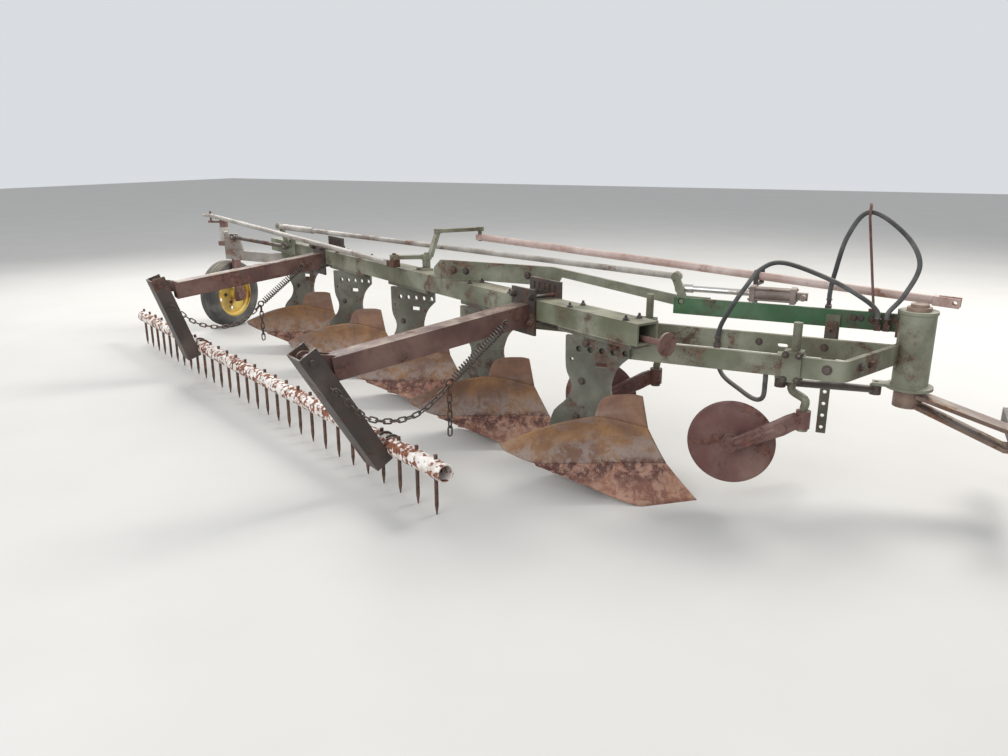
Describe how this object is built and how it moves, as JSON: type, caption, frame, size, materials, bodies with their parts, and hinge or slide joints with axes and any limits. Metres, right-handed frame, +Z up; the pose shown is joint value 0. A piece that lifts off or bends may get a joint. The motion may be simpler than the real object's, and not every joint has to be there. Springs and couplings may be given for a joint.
{
  "type": "semi-mounted moldboard plough",
  "caption": "Semi-mounted moldboard plough: bottoms on a slanting tube, steered tail wheel, disc coulters and a spike harrow on side arms",
  "frame": {"origin": "midpoint between the lower link pins of the hitch", "axes": "+X forward, +Y left, +Z up"},
  "size_m": [6.2837, 3.2378, 1.3493],
  "materials": {
    "green_paint": "faded moss green with rust",
    "bright_green": "green paint, chalky",
    "brown_paint": "brown-red primer, worn",
    "board_steel": "orange-brown rust over polished steel",
    "share_steel": "dark red-brown rust",
    "maroon_paint": "maroon rust",
    "dark_steel": "dark oily steel",
    "pale_steel": "weathered pale paint",
    "pink_steel": "pinkish primer",
    "white_pipe": "flaking white paint over rust",
    "hose_rubber": "weathered rubber hose",
    "bright_rod": "dull ground steel",
    "yellow_rim": "yellow paint",
    "tyre_rubber": "grey-black rubber"
  },
  "bodies": {
    "frame": {"main_tube": "green_paint", "near_rail": "green_paint", "far_rail": "green_paint", "left_brace": "green_paint", "lift_plate": "bright_green", "hitch_post": "green_paint", "hitch_stay": "dark_steel", "standards": "green_paint", "board_brackets": "dark_steel", "moldboards": "board_steel", "shares": "share_steel", "landsides": "share_steel", "trash_boards": "board_steel", "harrow_arms": "brown_paint", "arm_clamps": "dark_steel", "arm_springs": "dark_steel", "arm_chains": "dark_steel", "pull_bolt": "maroon_paint", "coulter_shanks": "green_paint", "crank_post": "green_paint", "lever_bracket": "green_paint", "tail_bracket": "green_paint", "pipe_guide": "dark_steel", "cylinder_barrel": "maroon_paint", "hose_support": "maroon_paint", "hose_fittings": "dark_steel", "hose_loop": "hose_rubber", "hose_side": "hose_rubber", "hose_low": "hose_rubber", "stand_guide": "green_paint"},
    "hitch": {"tongue": "dark_steel", "crossbar": "dark_steel"},
    "steer_front": {"steer_pipe_front": "pink_steel"},
    "crank": {"crank": "green_paint"},
    "knuckle": {"knuckle": "dark_steel"},
    "steer_rear": {"steer_pipe_rear": "pale_steel"},
    "tail_arm": {"tail_arm": "pale_steel"},
    "tail_yoke": {"tail_yoke": "maroon_paint"},
    "tail_wheel": {"tail_tyre": "tyre_rubber", "tail_rim": "yellow_rim"},
    "lift_lever": {"lift_lever": "green_paint"},
    "lift_rod": {"lift_rod": "pale_steel"},
    "tail_link": {"tail_link": "dark_steel"},
    "front_rocker": {"front_rocker": "green_paint"},
    "cylinder_rod": {"cylinder_rod": "bright_rod"},
    "coulter_yoke_1": {"coulter_yoke_1": "maroon_paint"},
    "coulter_yoke_2": {"coulter_yoke_2": "maroon_paint"},
    "coulter_disc_1": {"coulter_disc_1": "maroon_paint"},
    "coulter_disc_2": {"coulter_disc_2": "maroon_paint"},
    "stand": {"parking_stand": "green_paint"},
    "harrow": {"harrow_uprights": "dark_steel", "harrow_pipe": "white_pipe"}
  },
  "joints": [
    {"name": "hitch_turn", "type": "hinge", "parent": "frame", "child": "hitch", "pos_m": [-0.462, 0, 0.255], "axis": [0, 0, 1], "range_deg": [-40, 40]},
    {"name": "tail_lift", "type": "hinge", "parent": "frame", "child": "tail_arm", "pos_m": [-5.125, 1.31, 0.345], "axis": [0, -1, 0], "range_deg": [0, 12.5]},
    {"name": "tail_steer", "type": "hinge", "parent": "tail_arm", "child": "tail_yoke", "pos_m": [-6.048, 1.55, 0.505], "axis": [0, 0, 1], "range_deg": [0, 90]},
    {"name": "tail_spin", "type": "hinge", "parent": "tail_yoke", "child": "tail_wheel", "pos_m": [-6.048, 1.55, -0.045], "axis": [1, 0, 0], "continuous": true},
    {"name": "crank_swing", "type": "hinge", "parent": "frame", "child": "crank", "pos_m": [-3.22035, 0.34098, 0.585], "axis": [0, 0, 1], "range_deg": [0, 52]},
    {"name": "knuckle_turn", "type": "hinge", "parent": "crank", "child": "knuckle", "pos_m": [-3.389, 0.237, 0.585], "axis": [0, 0, 1], "range_deg": [-52, 0]},
    {"name": "rear_pipe_pitch", "type": "hinge", "parent": "knuckle", "child": "steer_rear", "pos_m": [-3.41989, 0.25121, 0.545], "axis": [-0.4179, -0.9085, 0], "range_deg": [0, 7.5]},
    {"name": "front_pipe_turn", "type": "hinge", "parent": "crank", "child": "steer_front", "pos_m": [-3.003, 0.65, 0.705], "axis": [0, 0, 1], "range_deg": [-52, 0]},
    {"name": "lever_swing", "type": "hinge", "parent": "frame", "child": "lift_lever", "pos_m": [-4.96355, 1.102, 0.525], "axis": [0, 1, 0], "range_deg": [0, 45]},
    {"name": "rod_pivot", "type": "hinge", "parent": "lift_lever", "child": "lift_rod", "pos_m": [-5.01, 1.076, 0.63997], "axis": [0, 1, 0], "range_deg": [-45, 0]},
    {"name": "link_pivot", "type": "hinge", "parent": "lift_lever", "child": "tail_link", "pos_m": [-4.94857, 1.056, 0.48791], "axis": [0, 1, 0], "range_deg": [-60, 0]},
    {"name": "rocker_swing", "type": "hinge", "parent": "frame", "child": "front_rocker", "pos_m": [-1.552, 0.14, 0.481], "axis": [0, 1, 0], "range_deg": [0, 45]},
    {"name": "piston_slide", "type": "slide", "parent": "frame", "child": "cylinder_rod", "axis": [1, 0, 0], "range_m": [0, 0.047]},
    {"name": "coulter_swivel_1", "type": "hinge", "parent": "frame", "child": "coulter_yoke_1", "pos_m": [-0.866, -0.4665, 0.115], "axis": [0, 0, 1], "range_deg": [-20, 20]},
    {"name": "coulter_swivel_2", "type": "hinge", "parent": "frame", "child": "coulter_yoke_2", "pos_m": [-1.627, -0.0555, 0.115], "axis": [0, 0, 1], "range_deg": [-20, 20]},
    {"name": "disc_spin_1", "type": "hinge", "parent": "coulter_yoke_1", "child": "coulter_disc_1", "pos_m": [-1.16, -0.4665, -0.04], "axis": [-0.0971, 0.9953, 0], "continuous": true},
    {"name": "disc_spin_2", "type": "hinge", "parent": "coulter_yoke_2", "child": "coulter_disc_2", "pos_m": [-1.921, -0.0555, -0.04], "axis": [-0.0971, 0.9953, 0], "continuous": true},
    {"name": "stand_slide", "type": "slide", "parent": "frame", "child": "stand", "axis": [0, 0, -1], "range_m": [0, 0.15]},
    {"name": "harrow_swing", "type": "hinge", "parent": "frame", "child": "harrow", "pos_m": [-3.96775, -0.69988, 0.348], "axis": [0.8799, -0.4752, 0], "range_deg": [-25, 6], "deforming": ["arm_springs", "arm_chains"]}
  ],
  "couplings": [
    {"joint": "crank_swing", "follows": "tail_steer", "ratio": 0.56798},
    {"joint": "knuckle_turn", "follows": "tail_steer", "ratio": -0.57228},
    {"joint": "front_pipe_turn", "follows": "tail_steer", "ratio": -0.56798},
    {"joint": "rear_pipe_pitch", "follows": "tail_lift", "ratio": 0.32184},
    {"joint": "lever_swing", "follows": "tail_lift", "ratio": 3.336},
    {"joint": "rod_pivot", "follows": "tail_lift", "ratio": -3.336},
    {"joint": "link_pivot", "follows": "tail_lift", "ratio": -4.1275},
    {"joint": "rocker_swing", "follows": "tail_lift", "ratio": 3.336},
    {"joint": "piston_slide", "follows": "tail_lift", "m_per_rad": 0.19545}
  ]
}
